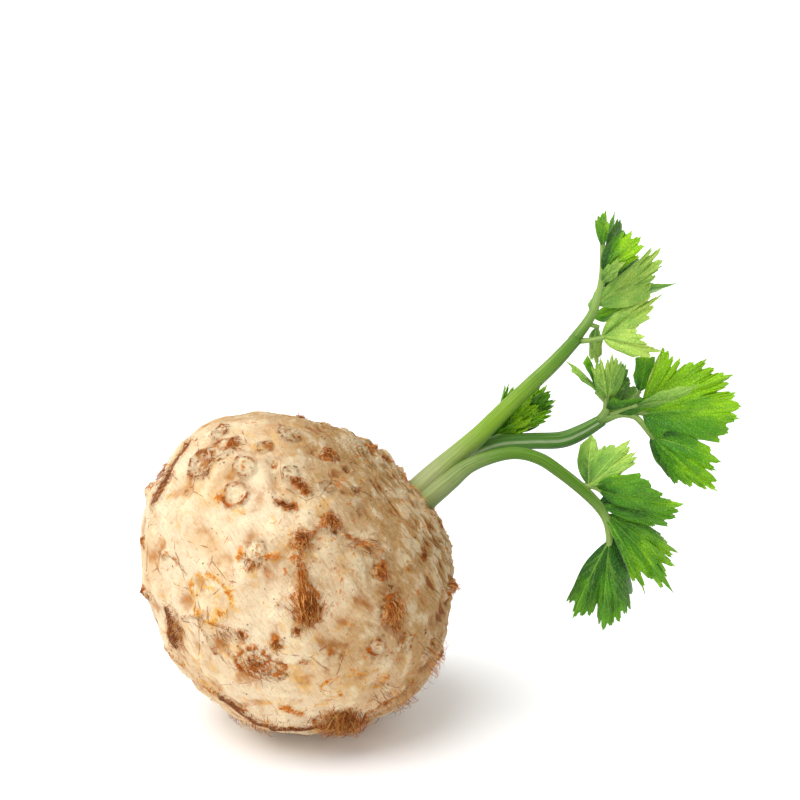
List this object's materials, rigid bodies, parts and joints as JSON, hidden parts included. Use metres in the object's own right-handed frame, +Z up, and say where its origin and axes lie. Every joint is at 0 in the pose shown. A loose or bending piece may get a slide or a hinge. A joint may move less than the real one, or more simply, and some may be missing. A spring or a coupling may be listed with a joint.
{
  "type": "celeriac root",
  "caption": "Round knobbly root with scars and fibre tufts, lying on a small flat spot, with leafy stalks growing out of its crown at one side.",
  "frame": {"origin": "middle of the small flat spot that the root rests on", "axes": "+X runs towards the leaves, the long way of the whole object; +Y points away from the viewer of the picture; +Z up"},
  "size_m": [0.2294, 0.1206, 0.1957],
  "materials": {
    "root_skin": "matte",
    "stalk_green": "satin",
    "leaf_green": "satin",
    "young_green": "satin"
  },
  "bodies": {
    "root": {"root": "root_skin", "upper_stalk": "stalk_green", "middle_stalk": "leaf_green", "lower_stalk": "leaf_green", "young_leaves": "young_green"}
  },
  "joints": []
}
